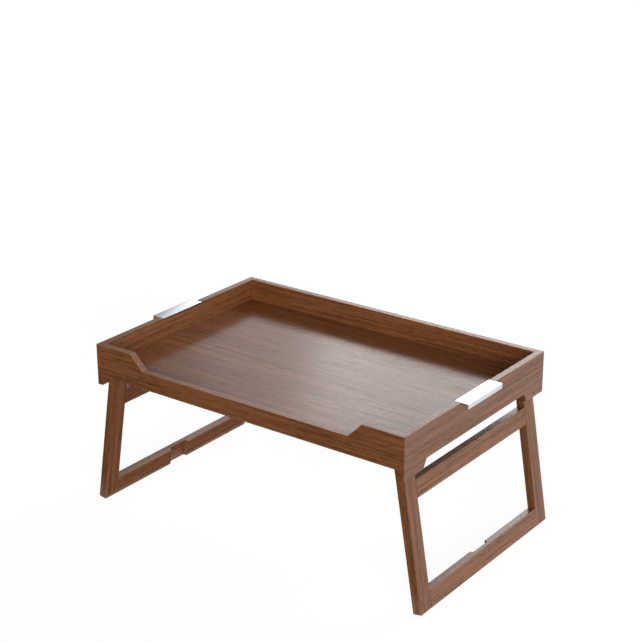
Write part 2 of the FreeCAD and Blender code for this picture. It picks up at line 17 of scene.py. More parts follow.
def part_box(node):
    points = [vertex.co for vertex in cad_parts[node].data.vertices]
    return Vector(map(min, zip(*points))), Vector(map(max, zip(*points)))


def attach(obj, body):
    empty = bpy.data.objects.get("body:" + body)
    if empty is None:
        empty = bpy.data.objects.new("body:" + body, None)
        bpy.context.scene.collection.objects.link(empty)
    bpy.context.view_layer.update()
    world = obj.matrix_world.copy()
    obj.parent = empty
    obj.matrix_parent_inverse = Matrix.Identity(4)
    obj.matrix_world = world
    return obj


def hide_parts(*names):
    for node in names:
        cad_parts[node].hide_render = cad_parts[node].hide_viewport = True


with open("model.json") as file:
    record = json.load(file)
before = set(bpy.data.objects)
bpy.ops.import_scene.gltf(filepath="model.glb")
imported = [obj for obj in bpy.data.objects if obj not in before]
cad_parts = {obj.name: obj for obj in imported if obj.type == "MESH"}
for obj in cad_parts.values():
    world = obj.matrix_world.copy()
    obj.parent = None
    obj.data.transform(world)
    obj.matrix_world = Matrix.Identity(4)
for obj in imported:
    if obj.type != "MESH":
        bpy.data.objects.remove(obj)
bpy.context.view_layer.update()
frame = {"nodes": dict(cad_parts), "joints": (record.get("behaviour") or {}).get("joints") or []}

bl_info = {
    "name": "Bed Tray Table",
    "version": (1, 0, 0),
    "blender": (4, 5, 0),
    "location": "View3D > Sidebar > Bed Tray",
    "description": "Finishes a folding walnut bed tray table and sets up its studio",
    "category": "Add Mesh",
}

MM = 0.001
SIDES = {"left": -1, "right": 1}
ENDS = {"front": -1, "back": 1}
NODES = frame["nodes"]
JOINTS = {joint["name"]: joint for joint in frame["joints"]}
TRAY = "tray"

HEAD_RADIUS, HEAD_HEIGHT, HEAD_CROWN = 4.5 * MM, 3.2 * MM, 0.7 * MM
SOCKET_RADIUS, SOCKET_DEPTH, DRILL_DEPTH = 1.75 * MM, 2.0 * MM, 2.4 * MM
SHOULDER_RADIUS, SHOULDER_LENGTH = 3.0 * MM, 26.3 * MM
THREAD_RADIUS, THREAD_LENGTH, THREAD_PITCH = 2.5 * MM, 7.5 * MM, 0.8 * MM
THREAD_DEPTH, THREAD_GAP, THREAD_ROWS = 0.44 * MM, 0.04 * MM, 8
BUSH_RADIUS, BUSH_LENGTH = 4.0 * MM, 24.9 * MM
WASHER_RADIUS, WASHER_THICK = 7.0 * MM, 1.1 * MM
INSERT_RADIUS, INSERT_WAIST, INSERT_LENGTH = 4.0 * MM, 3.4 * MM, 8.5 * MM
BORE_PLAY = 0.05 * MM
KNURL_DEPTH, KNURL_RIDGES = 0.12 * MM, 36
COLUMNS = 2 * KNURL_RIDGES
ARC_POINTS = 9

# The plate's thickness, the rounding of its edges, the radius of its bend, and how much sooner it
# ends than its solid at both ends, which widens the gap there.
PLATE_THICK, PLATE_EASE, PLATE_BEND, PLATE_GAP = 3.0 * MM, 0.4 * MM, 1.2 * MM, 0.9 * MM
# Painted shadow gap on the plate's inner edge: its reach outwards, and how far below the top it
# starts.
GAP_SHADE_REACH, GAP_SHADE_DROP = 0.45 * MM, 0.4 * MM

# Points closer than a weld are one.  Faces narrower than a chamfer's width count as chamfers.
SKIN_WELD, NODE_WELD = 0.002 * MM, 0.001 * MM
CHAMFER_WIDTH = 1.3 * MM
FLAT_ANGLE, ARRIS_ANGLE, CREASE_ANGLE = math.radians(0.5), math.radians(25), math.radians(32)

WHITE = (1.0, 1.0, 1.0, 1.0)
BEECH_PALE = (0.66, 0.47, 0.29, 1.0)
BEECH_DEEP = (0.56, 0.37, 0.21, 1.0)
BEECH_FLECK = (0.36, 0.20, 0.10, 1.0)

# Waves per metre along the grain and across it, and the detail of the noise.
WOOD_NOISE = {
    "bend": (1.8, 7.0, 1.0),
    "uneven": (0.6, 90.0, 1.0),
    "streak": (5.0, 330.0, 3.0),
    "fleck": (58.0, 680.0, 2.5),
    "fibre": (16.0, 1500.0, 2.0),
    "cloud": (1.1, 16.0, 1.0),
    "beech_tone": (2.0, 300.0, 3.0),
    "beech_ray": (220.0, 1500.0, 1.0),
}
PORES_ALONG, PORES_ACROSS = 90.0, 1200.0
# The pith's distance, how far the slow noise bends the grain, and by how many rings it shifts one.
PITH_DISTANCE, BEND_REACH, RING_SHIFT = 0.5, 0.014, 3.2
# How strongly rings, fibres, pores and cut ends darken the wood, and the painted highlight on
# arrises.
RING_DARK, FIBRE_DARK, PORE_DARK, END_DARK, ARRIS_HIGHLIGHT = 0.20, 0.42, 0.72, 0.35, 0.16
# The height of the fibres in wood, and of the brushed or turned lines in metal.
WOOD_RELIEF, METAL_RELIEF = 0.03 * MM, 0.004 * MM
LEG_SEED, SEED_STEP = 31, 10

# Each softbox: its name, its azimuth left of +Y and elevation in degrees, its size in metres, and
# how many times as bright as white paper it is.
SOFTBOXES = (
    ("back_softbox", -3.2, 20, (12.0, 4.0), 3.3),
    ("edge_softbox", 39.8, 20, (1.5, 4.0), 0.7),
    ("corner_softbox", -130, 12, (4.5, 3.0), 8.2),
    ("front_softbox", -168, 28, (5.0, 3.0), 2.6),
    ("side_softbox", -95, 8, (4.5, 2.2), 1.6),
)
# The standing card is placed as a softbox is.  Each flat card: its name, the x and y of its
# middle, its size, and its level where white is 1.
BACK_CARD = ("back_card", 63, 22, (5.5, 6.5), 0.08)
FLAT_CARDS = (
    ("front_card", (-0.55, -0.96), (2.1, 1.48), 0.04),
    ("shade_card", (0.0, 0.0), (0.616, 0.38), 0.16),
)
CARD_LIFT = 0.002
AIM_HEIGHT = 0.26
LAMP_DISTANCE = 8.0
STUDIO_HALF = 15.0
FLOOR_GREY = (0.58, 0.58, 0.58, 1.0)
SHADOW_GREY = (0.22, 0.22, 0.22, 1.0)
FLOOR_GLOW = 0.90

ALONG = Vector((1, 0, 0))
ACROSS = Vector((0, 1, 0))


def leg_body(side):
    return f"{side}_leg_frame"


def pivot(side):
    """Where the side's pivot line crosses the middle plane."""
    return Vector(JOINTS[f"{side}_leg_fold"]["pos_m"])


def lean(side):
    """The way a leg rises: it leans out by as much as its joint opens past upright."""
    past = math.radians(JOINTS[f"{side}_leg_fold"]["range_deg"][1] - 90)
    return Vector((-SIDES[side] * math.sin(past), 0, math.cos(past)))


# --------------------------------------------------------------- properties


class BedTrayWalnut(bpy.types.PropertyGroup):
    """Colours and surface of the walnut."""

    early: FloatVectorProperty(
        name="Early wood", description="Colour of the lighter wood between the rings",
        subtype="COLOR", size=3, min=0, max=1, default=(0.280, 0.102, 0.032))
    late: FloatVectorProperty(
        name="Late wood", description="Colour of the dark line that ends each ring",
        subtype="COLOR", size=3, min=0, max=1, default=(0.120, 0.040, 0.012))
    pore: FloatVectorProperty(
        name="Pores", description="Colour down in the open pores",
        subtype="COLOR", size=3, min=0, max=1, default=(0.050, 0.019, 0.008))
    ring: FloatProperty(
        name="Ring", description="Mean width of a growth ring",
        subtype="DISTANCE", unit="LENGTH", default=3.6 * MM, min=0.5 * MM, max=20 * MM)
    board_roughness: FloatProperty(
        name="Board roughness", description="Roughness of the satin lacquer on boards and legs",
        default=0.34, min=0, max=1)
    floor_roughness: FloatProperty(
        name="Floor roughness", description="Roughness of the smoother lacquer on the tray floor",
        default=0.17, min=0, max=1)
    board_shine: FloatProperty(
        name="Board shine", description="Strength of the lacquer's reflection on boards and legs",
        default=0.45, min=0, max=1)
    floor_shine: FloatProperty(
        name="Floor shine", description="Strength of the lacquer's reflection on the tray floor",
        default=0.20, min=0, max=1)
    arris: FloatProperty(
        name="Arris", description="Rounding beside the small chamfers of the woodwork",
        subtype="DISTANCE", unit="LENGTH", default=0.3 * MM, min=0, max=2 * MM)


class BedTrayMetal(bpy.types.PropertyGroup):
    """Colours of the metal and nylon parts."""

    steel: FloatVectorProperty(
        name="Handle steel", description="Colour of the stainless handle plates",
        subtype="COLOR", size=3, min=0, max=1, default=(0.76, 0.78, 0.81))
    zinc: FloatVectorProperty(
        name="Zinc", description="Colour of the plated pivot bolts",
        subtype="COLOR", size=3, min=0, max=1, default=(0.55, 0.56, 0.58))
    brass: FloatVectorProperty(
        name="Brass", description="Colour of the bushes and inserts",
        subtype="COLOR", size=3, min=0, max=1, default=(0.78, 0.57, 0.24))
    nylon: FloatVectorProperty(
        name="Nylon", description="Colour of the friction washers",
        subtype="COLOR", size=3, min=0, max=1, default=(0.72, 0.70, 0.64))
    # Painted shade: the black that stands for the shadow of a gap under the plates' inner edge.
    seam: FloatVectorProperty(
        name="Seam", description="Colour of the black seam on the inner edge of the plates",
        subtype="COLOR", size=3, min=0, max=1, default=(0.012, 0.011, 0.010))


class BedTrayStudio(bpy.types.PropertyGroup):
    """Camera, lamps and backdrop."""

    camera: FloatVectorProperty(
        name="Camera", description="Where the camera stands", subtype="XYZ", unit="LENGTH",
        size=3, default=(1.44574, -1.94254, 1.27692))
    azimuth: FloatProperty(
        name="Azimuth", description="Turn of the view to the left of +Y", subtype="ANGLE",
        default=math.radians(36.606))
    elevation: FloatProperty(
        name="Elevation", description="How steeply the camera looks down", subtype="ANGLE",
        default=math.radians(21.242))
    roll: FloatProperty(
        name="Roll", description="Turn of the picture about its middle", subtype="ANGLE",
        default=math.radians(-0.175))
    lens: FloatProperty(
        name="Lens", description="Focal length in millimetres on a 36 mm sensor",
        default=91.57, min=10, max=300)
    ambient: FloatProperty(
        name="Ambient", description="Strength of the room's even light", default=0.08,
        min=0, max=2)


# ------------------------------------------------------------------ shading


class Graph:
    """The emptied node tree of a material or a world, with a short call for each kind of step."""

    def __init__(self, owner):
        self.owner = owner
        self.owner.use_nodes = True
        self.nodes = self.owner.node_tree.nodes
        self.links = self.owner.node_tree.links
        self.nodes.clear()

    def feed(self, node, key, value):
        if isinstance(value, bpy.types.NodeSocket):
            self.links.new(value, node.inputs[key])
        else:
            node.inputs[key].default_value = value

    def add(self, kind, inputs=None, **settings):
        """A node with its settings, its inputs linked to sockets or set to values."""
        node = self.nodes.new(kind)
        for name, value in settings.items():
            setattr(node, name, value)
        for key, value in (inputs or {}).items():
            self.feed(node, key, value)
        return node

    def object_place(self):
        return self.add("ShaderNodeTexCoord").outputs["Object"]

    def math(self, operation, *values):
        return self.add("ShaderNodeMath", dict(enumerate(values)), operation=operation).outputs[0]

    def vector(self, operation, *values):
        node = self.add("ShaderNodeVectorMath", dict(enumerate(values)), operation=operation)
        return node.outputs["Value" if operation in ("LENGTH", "DOT_PRODUCT") else "Vector"]

    def scale(self, vector, factor):
        return self.add("ShaderNodeVectorMath", {"Vector": vector, "Scale": factor},
                        operation="SCALE").outputs["Vector"]

    def step(self, value, low, high, out_low=0.0, out_high=1.0):
        """A smooth step of a value between two of its levels."""
        inputs = dict(enumerate((value, low, high, out_low, out_high)))
        return self.add("ShaderNodeMapRange", inputs,
                        interpolation_type="SMOOTHSTEP").outputs[0]

    def mix(self, factor, first, second):
        inputs = {0: factor, 6: first, 7: second}
        return self.add("ShaderNodeMix", inputs, data_type="RGBA").outputs[2]

    def noise(self, place, stretch, detail, output="Fac"):
        """Noise with so many waves per metre along each axis."""
        drawn = self.vector("MULTIPLY", place, stretch)
        inputs = {"Vector": drawn, "Scale": 1.0, "Detail": detail}
        return self.add("ShaderNodeTexNoise", inputs).outputs[output]

    def bump(self, height, distance):
        """Normals of a height from 0 to 1 that stands for so many metres."""
        return self.add("ShaderNodeBump", {"Height": height, "Distance": distance}).outputs[0]

    def finish(self, **inputs):
        """Ends in a Principled shader, whose inputs are given by name."""
        values = {name.replace("_", " "): value for name, value in inputs.items()}
        shader = self.add("ShaderNodeBsdfPrincipled", values)
        self.add("ShaderNodeOutputMaterial", {0: shader.outputs[0]})
        return self.owner


def material_graph(name):
    return Graph(bpy.data.materials.new(name))


def rgba(colour, level=1.0):
    """A colour at a level, as a shader's socket takes it."""
    return (*(level * value for value in colour), 1.0)


def grain_place(graph, grain):
    """Object coordinates turned so that the grain runs along x."""
    turn = grain.rotation_difference(ALONG).to_euler()
    return graph.add("ShaderNodeMapping", {"Vector": graph.object_place(), "Rotation": turn},
                     vector_type="POINT").outputs[0]


def wood_noise(graph, place, word, output="Fac"):
    """One of the wood's noises, drawn out along the grain."""
    along, across, detail = WOOD_NOISE[word]
    return graph.noise(place, (along, across, across), detail, output)


def walnut(name, grain, seed, floor=False, tint=1.0):
    """Lacquered walnut with its grain along a direction.

    The growth rings are thin shells round a pith far beside the board, bent by slow noise, so a
    face shows them as streaks along the grain and an end shows them as lines across.  Noise that
    is slow along the grain and fast across it adds fibres, and cells of the same shape the pores.
    """
    setup = bpy.context.scene.bed_tray_walnut
    roughness = setup.floor_roughness if floor else setup.board_roughness
    shine = setup.floor_shine if floor else setup.board_shine
    rng = np.random.default_rng(seed)
    graph = material_graph(name)
    shift = tuple(rng.uniform(-4, 4, 3))
    place = graph.vector("ADD", grain_place(graph, grain), shift)
    bend = wood_noise(graph, place, "bend", "Color")
    bend = graph.vector("MULTIPLY", graph.vector("SUBTRACT", bend, (0.5, 0.5, 0.5)),
                        (0.0, BEND_REACH, BEND_REACH))
    place = graph.vector("ADD", place, bend)

    angle = rng.uniform(0.5, 1.1)
    pith = Vector(shift) + PITH_DISTANCE * Vector((0, math.cos(angle), math.sin(angle)))
    radial = graph.vector("MULTIPLY", graph.vector("SUBTRACT", place, tuple(pith)), (0.004, 1, 1))
    reach = graph.math("DIVIDE", graph.vector("LENGTH", radial), setup.ring)
    uneven = wood_noise(graph, place, "uneven")
    phase = graph.math("FRACT", graph.math("MULTIPLY_ADD", uneven, RING_SHIFT, reach))
    late = graph.math("MULTIPLY", graph.step(phase, 0.25, 0.92), graph.step(phase, 1.0, 0.94))

    streak = wood_noise(graph, place, "streak")
    fleck = wood_noise(graph, place, "fleck")
    fibre = wood_noise(graph, place, "fibre")
    cloud = wood_noise(graph, place, "cloud")
    drawn = graph.vector("MULTIPLY", place, (PORES_ALONG, PORES_ACROSS, PORES_ACROSS))
    cells = graph.add("ShaderNodeTexVoronoi", {"Vector": drawn, "Scale": 1.0})
    pore = graph.step(cells.outputs["Distance"], 0.34, 0.16)
    pore = graph.math("MULTIPLY", pore, graph.step(late, 1.0, 0.1, 0.35, 1.0))

    dark = graph.step(streak, 0.30, 0.70, -0.18, 0.62)
    dark = graph.math("MULTIPLY_ADD", late, RING_DARK, dark)
    dark = graph.math("ADD", dark, graph.step(fleck, 0.44, 0.68, 0.0, 0.50))
    dark = graph.math("MULTIPLY_ADD", graph.math("SUBTRACT", fibre, 0.5), FIBRE_DARK, dark)
    wood = graph.mix(dark, rgba(setup.early), rgba(setup.late))
    wood = graph.mix(graph.math("MULTIPLY", pore, PORE_DARK), wood, rgba(setup.pore))
    wood = graph.scale(wood, graph.step(cloud, 0.25, 0.75, 0.93 * tint, 1.10 * tint))
    facing = graph.vector("DOT_PRODUCT", graph.add("ShaderNodeTexCoord").outputs["Normal"],
                          tuple(grain))
    end = graph.step(graph.math("ABSOLUTE", facing), 0.80, 0.97)
    wood = graph.mix(graph.math("MULTIPLY", end, END_DARK), wood, rgba(setup.late))
    # Painted highlight: the chamfers marked as arris are paled towards the early wood, as light
    # catching the edges.
    arris = graph.add("ShaderNodeAttribute", attribute_name="arris").outputs["Fac"]
    wood = graph.mix(graph.math("MULTIPLY", arris, ARRIS_HIGHLIGHT), wood, rgba(setup.early))

    rough = graph.math("MULTIPLY_ADD", pore, 0.16, roughness)
    rough = graph.math("MULTIPLY_ADD", graph.math("SUBTRACT", fibre, 0.5), 0.10, rough)
    gloss = graph.step(dark, 0.0, 1.0, 1.2 * shine, 0.8 * shine)
    relief = graph.math("SUBTRACT", graph.math("MULTIPLY", fibre, 0.2), pore)
    return graph.finish(Base_Color=wood, Roughness=rough, Specular_IOR_Level=gloss,
                        Normal=graph.bump(relief, WOOD_RELIEF))


def beech(name, grain):
    """Plain pale beech with the short dark flecks of its rays."""
    graph = material_graph(name)
    place = grain_place(graph, grain)
    tone = wood_noise(graph, place, "beech_tone")
    fleck = graph.step(wood_noise(graph, place, "beech_ray"), 0.62, 0.70)
    wood = graph.mix(tone, BEECH_PALE, BEECH_DEEP)
    wood = graph.mix(graph.math("MULTIPLY", fleck, 0.5), wood, BEECH_FLECK)
    return graph.finish(Base_Color=wood, Roughness=0.6, Normal=graph.bump(tone, WOOD_RELIEF))


def handle_steel(name, edge, low):
    """Stainless steel brushed along the handle: even on its lip, polished bright on its top.

    Nearer the middle plane than edge and lower than low, its inner edge is painted black as the
    shadow of a gap.
    """
    metal = bpy.context.scene.bed_tray_metal
    graph = material_graph(name)
    place = graph.object_place()
    brush = graph.noise(place, (5200.0, 22.0, 5200.0), 3.0)
    wide = graph.noise(place, (600.0, 9.0, 600.0), 2.0)
    normal = graph.add("ShaderNodeTexCoord").outputs["Normal"]
    top = graph.step(graph.vector("DOT_PRODUCT", normal, (0.0, 0.0, 1.0)), 0.55, 0.95)
    tone = graph.mix(graph.step(wide, 0.2, 0.8), rgba(metal.steel, 0.72), rgba(metal.steel))
    tone = graph.mix(top, tone, rgba(metal.steel))
    rough = graph.math("MULTIPLY_ADD", brush, 0.16, graph.step(top, 0.0, 1.0, 0.24, 0.22))
    # Painted shade: the inner edge below the top's rounding is painted black and not metallic, as
    # the shadow of a gap under the plate.
    parts = graph.add("ShaderNodeSeparateXYZ", {0: place}).outputs
    seam = graph.math("LESS_THAN", graph.math("ABSOLUTE", parts[0]), edge)
    seam = graph.math("MULTIPLY", seam, graph.math("LESS_THAN", parts[2], low))
    tone = graph.mix(seam, tone, rgba(metal.seam))
    rough = graph.math("MULTIPLY_ADD", seam, 0.3, rough)
    return graph.finish(Base_Color=tone, Metallic=graph.math("SUBTRACT", 1.0, seam),
                        Roughness=rough, Normal=graph.bump(brush, METAL_RELIEF))


def turned_metal(name, colour, roughness, lines):
    """Metal turned on a lathe, with fine lines round it along the Y axis and a faint bloom."""
    graph = material_graph(name)
    place = graph.object_place()
    line = graph.noise(place, (60.0, lines, 60.0), 2.0)
    bloom = graph.noise(place, (180.0, 180.0, 180.0), 2.0)
    tone = graph.mix(bloom, rgba(colour, 0.78), rgba(colour))
    rough = graph.math("MULTIPLY_ADD", bloom, 0.2, roughness)
    return graph.finish(Base_Color=tone, Metallic=1.0, Roughness=rough,
                        Normal=graph.bump(line, METAL_RELIEF))


def nylon(name):
    """Natural nylon, slightly milky, with faint moulding cloudiness."""
    pale = bpy.context.scene.bed_tray_metal.nylon
    graph = material_graph(name)
    cloud = graph.noise(graph.object_place(), (300.0, 300.0, 300.0), 2.0)
    tone = graph.mix(cloud, rgba(pale, 0.9), rgba(pale))
    return graph.finish(Base_Color=tone, Roughness=0.45, Subsurface_Weight=0.15,
                        Subsurface_Scale=1.5 * MM)


# ------------------------------------------------------------------- meshes


def new_piece(name, mesh, material, body, node):
    """Puts a mesh in the scene as a piece that rides on a body and stands for a CAD node."""
    piece = bpy.data.objects.new(name, mesh)
    bpy.context.scene.collection.objects.link(piece)
    mesh.materials.append(material)
    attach(piece, body)
    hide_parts(node)
    return piece


def skin(name, grids):
    """One mesh from grids of points: rows by columns by xyz, closed round the columns.

    Corner (i, j) joins (i, j+1), (i+1, j+1) and (i+1, j), the columns wrapping round.  The first
    and last rows are closed by merging them where they shrink to a point.
    """
    points, quads, start = [], [], 0
    for grid in grids:
        rows, columns = grid.shape[:2]
        index = start + np.arange(rows * columns).reshape(rows, columns)
        near, far = index, np.roll(index, -1, axis=1)
        quads.append(np.stack((near[:-1], far[:-1], far[1:], near[1:]), axis=-1).reshape(-1, 4))
        points.append(grid.reshape(-1, 3))
        start += rows * columns
    mesh = bpy.data.meshes.new(name)
    mesh.from_pydata(np.concatenate(points).tolist(), [], np.concatenate(quads).tolist())
    shape = bmesh.new()
    shape.from_mesh(mesh)
    bmesh.ops.remove_doubles(shape, verts=shape.verts, dist=SKIN_WELD)
    bmesh.ops.recalc_face_normals(shape, faces=shape.faces)
    shape.to_mesh(mesh)
    shape.free()
    mesh.shade_smooth()
    mesh.set_sharp_from_angle(angle=CREASE_ANGLE)
    return mesh


def on_pivot(side, end, grid):
    """Puts a grid of (along, radius, turn) round the side's pivot line, at its front or back end.

    With w = -1 at the front and 1 at the back, the point is x = cx + w r sin t, y = w a and
    z = cz + r cos t.
    """
    centre = pivot(side)
    way = ENDS[end]
    along, radius, turn = np.moveaxis(grid, -1, 0)
    return np.stack((centre.x + way * radius * np.sin(turn), way * along,
                     centre.z + radius * np.cos(turn)), axis=-1)


def rings(profile, shape=None):
    """A grid of (along, radius, turn) from the rows of a profile, given as (along, radius).

    shape is a function of the three that gives the radius all round, for a knurl, a thread or a
    hexagon.  Without it the row is round.
    """
    profile = np.asarray(profile, float)
    turn = np.linspace(0, 2 * math.pi, COLUMNS, endpoint=False)
    along, radius, turn = np.broadcast_arrays(profile[:, :1], profile[:, 1:], turn[None])
    if shape is not None:
        radius = shape(along, radius, turn)
    return np.stack((along, radius, turn), axis=-1)


def hexagon(along, radius, turn):
    """A hexagon with its corners at the radius."""
    sixth = math.pi / 3
    return radius * math.cos(sixth / 2) / np.cos((turn + sixth / 2) % sixth - sixth / 2)


def knurl(along, radius, turn):
    """Straight ridges along the part: r less the depth times (1 - cos(n t)) / 2."""
    return radius - KNURL_DEPTH * (0.5 - 0.5 * np.cos(KNURL_RIDGES * turn))


def thread(along, radius, turn):
    """A right-hand thread: a triangle wave, cut flat at crest and root, that runs with the turn."""
    wave = (along / THREAD_PITCH - turn / (2 * math.pi)) % 1.0
    tooth = np.clip(1.3 * (1 - np.abs(2 * wave - 1)) - 0.15, 0, 1)
    return radius - THREAD_DEPTH * (1 - tooth)


def eased_copy(node, body, material):
    """A copy of a wooden node with soft arrises, which stands for it.

    The triangles are merged back to flat faces.  The narrow ones, its chamfers, are marked as
    arris, and every edge gets a small round beside them.
    """
    setup = bpy.context.scene.bed_tray_walnut
    shape = bmesh.new()
    shape.from_mesh(NODES[node].data)
    bmesh.ops.remove_doubles(shape, verts=shape.verts, dist=NODE_WELD)
    bmesh.ops.dissolve_limit(shape, angle_limit=FLAT_ANGLE, verts=shape.verts,
                             edges=shape.edges, delimit=set())
    layer = shape.faces.layers.float.new("arris")
    for face in shape.faces:
        longest = max(edge.calc_length() for edge in face.edges)
        face[layer] = 1.0 if face.calc_area() < CHAMFER_WIDTH * longest else 0.0
    mesh = bpy.data.meshes.new(f"{node}_eased")
    shape.to_mesh(mesh)
    shape.free()
    mesh.shade_smooth()
    piece = new_piece(f"{node}_eased", mesh, material, body, node)
    bevel = piece.modifiers.new("arris", "BEVEL")
    bevel.width = setup.arris
    bevel.segments = 2
    bevel.limit_method = "ANGLE"
    bevel.angle_limit = ARRIS_ANGLE
    piece.modifiers.new("flats", "WEIGHTED_NORMAL")


def finish_node(node, material):
    """Gives a CAD node that stays its material."""
    NODES[node].data.materials.clear()
    NODES[node].data.materials.append(material)


# ---------------------------------------------------------------- operators


class BEDTRAY_OT_stage(bpy.types.Operator):
    """Sets up the floor, the white surround, the softboxes, the dark cards and the camera"""

    bl_idname = "bedtray.stage"
    bl_label = "Studio"

    def execute(self, context):
        setup = context.scene.bed_tray_studio
        context.scene.view_settings.view_transform = "Standard"
        self.lay_floor()
        self.surround(context, setup)
        for name, azimuth, elevation, size, radiance in SOFTBOXES:
            self.softbox(name, self.facing(azimuth, elevation), size, radiance)
        name, azimuth, elevation, size, level = BACK_CARD
        self.card(name, self.facing(azimuth, elevation), size, level)
        for name, middle, size, level in FLAT_CARDS:
            self.card(name, Matrix.Translation((*middle, CARD_LIFT)), size, level)
        self.place_camera(context, setup)
        return {"FINISHED"}

    @staticmethod
    def seen(graph):
        """1 for rays from the camera, from shiny things and through clear ones."""
        rays = graph.add("ShaderNodeLightPath").outputs
        seen = graph.math("MAXIMUM", rays["Is Camera Ray"], rays["Is Glossy Ray"])
        return graph.math("MAXIMUM", seen, rays["Is Transmission Ray"])

    @staticmethod
    def sheet(name, wide, high):
        """A rectangle about the origin that reaches so far to each side and up and down."""
        mesh = bpy.data.meshes.new(name)
        mesh.from_pydata([(-wide, -high, 0), (wide, -high, 0), (wide, high, 0), (-wide, high, 0)],
                         [], [(0, 1, 2, 3)])
        return mesh

    def lay_floor(self):
        """A plain pale floor that looks white and keeps a soft shadow."""
        mesh = self.sheet("studio_floor", STUDIO_HALF, STUDIO_HALF)
        floor = bpy.data.objects.new("studio_floor", mesh)
        bpy.context.scene.collection.objects.link(floor)
        graph = material_graph("studio_floor")
        plain = graph.add("ShaderNodeBsdfDiffuse", {"Color": FLOOR_GREY}).outputs[0]
        shaded = graph.add("ShaderNodeBsdfDiffuse", {"Color": SHADOW_GREY}).outputs[0]
        glow = graph.add("ShaderNodeEmission", {"Strength": FLOOR_GLOW}).outputs[0]
        white = graph.add("ShaderNodeAddShader", {0: shaded, 1: glow}).outputs[0]
        mixed = graph.add("ShaderNodeMixShader", {0: self.seen(graph), 1: plain, 2: white})
        graph.add("ShaderNodeOutputMaterial", {0: mixed.outputs[0]})
        mesh.materials.append(graph.owner)

    def surround(self, context, setup):
        """A world that looks white and gives a plain even light."""
        world = bpy.data.worlds.new("studio")
        context.scene.world = world
        graph = Graph(world)
        even = graph.add("ShaderNodeBackground",
                         {"Color": WHITE, "Strength": setup.ambient}).outputs[0]
        white = graph.add("ShaderNodeBackground", {"Color": WHITE}).outputs[0]
        mixed = graph.add("ShaderNodeMixShader", {0: self.seen(graph), 1: even, 2: white})
        graph.add("ShaderNodeOutputWorld", {0: mixed.outputs[0]})

    @staticmethod
    def facing(azimuth, elevation):
        """A place at a softbox's distance, at an azimuth left of +Y, turned to face the tray."""
        azimuth, elevation = math.radians(azimuth), math.radians(elevation)
        way = Vector((-math.sin(azimuth) * math.cos(elevation),
                      math.cos(azimuth) * math.cos(elevation), math.sin(elevation)))
        turn = way.to_track_quat("Z", "Y").to_matrix().to_4x4()
        return Matrix.Translation(Vector((0, 0, AIM_HEIGHT)) + LAMP_DISTANCE * way) @ turn

    @staticmethod
    def stand(thing, name, place):
        item = bpy.data.objects.new(name, thing)
        bpy.context.scene.collection.objects.link(item)
        item.matrix_world = place
        item.visible_camera = False
        return item

    def softbox(self, name, place, size, radiance):
        """A rectangular lamp that is as bright as so many times white paper."""
        light = bpy.data.lights.new(name, "AREA")
        light.shape = "RECTANGLE"
        light.size, light.size_y = size
        light.energy = math.pi * size[0] * size[1] * radiance
        self.stand(light, name, place)

    def card(self, name, place, size, level):
        """A dark card of a level that only reflections see, set to deepen the lacquer's tone."""
        mesh = self.sheet(name, size[0] / 2, size[1] / 2)
        graph = material_graph(name)
        dark = graph.add("ShaderNodeEmission", {"Strength": level})
        graph.add("ShaderNodeOutputMaterial", {0: dark.outputs[0]})
        mesh.materials.append(graph.owner)
        card = self.stand(mesh, name, place)
        card.visible_diffuse = card.visible_shadow = False

    def place_camera(self, context, setup):
        """Turns the camera to the left of +Y, down by its elevation, then by its roll."""
        lens = bpy.data.cameras.new("camera")
        lens.sensor_fit = "HORIZONTAL"
        lens.lens = setup.lens
        camera = bpy.data.objects.new("camera", lens)
        context.scene.collection.objects.link(camera)
        turn = (Matrix.Rotation(setup.azimuth, 4, "Z")
                @ Matrix.Rotation(math.pi / 2 - setup.elevation, 4, "X")
                @ Matrix.Rotation(setup.roll, 4, "Z"))
        camera.matrix_world = Matrix.Translation(setup.camera) @ turn
        context.scene.camera = camera


class BEDTRAY_OT_boards(bpy.types.Operator):
    """Eases and finishes the four mitred boards and the splines in their corners"""

    bl_idname = "bedtray.boards"
    bl_label = "Boards"

    def execute(self, context):
        boards = (("front_board", ALONG, 16, 1.0), ("back_board", ALONG, 12, 1.04),
                  ("left_side_board", ACROSS, 13, 0.97), ("right_side_board", ACROSS, 14, 1.0))
        for node, grain, seed, tint in boards:
            finish = walnut(f"walnut_{node}", grain, seed, tint=tint)
            eased_copy(node, TRAY, finish)
        diagonal = (ALONG + ACROSS).normalized()
        finish_node("corner_splines", walnut("walnut_splines", diagonal, 15))
        return {"FINISHED"}


class BEDTRAY_OT_tray_floor(bpy.types.Operator):
    """Eases and finishes the floor panel of the tray"""

    bl_idname = "bedtray.tray_floor"
    bl_label = "Tray floor"

    def execute(self, context):
        finish = walnut("walnut_tray_floor", ALONG, 21, floor=True, tint=1.2)
        eased_copy("tray_floor", TRAY, finish)
        return {"FINISHED"}


class BEDTRAY_OT_leg_frames(bpy.types.Operator):
    """Eases and finishes the rails and uprights of both leg frames and their loose tenons"""

    bl_idname = "bedtray.leg_frames"
    bl_label = "Leg frames"

    def execute(self, context):
        for number, side in enumerate(SIDES):
            rise = lean(side)
            members = (("upper_rail", ACROSS), ("bottom_rail", ACROSS), ("front_upright", rise),
                       ("back_upright", rise))
            for place, (member, grain) in enumerate(members):
                seed = LEG_SEED + SEED_STEP * number + place
                finish = walnut(f"walnut_{side}_{member}", grain, seed)
                eased_copy(f"{side}_{member}", leg_body(side), finish)
            finish_node(f"{side}_frame_tenons", beech(f"beech_{side}_tenons", ACROSS))
        return {"FINISHED"}


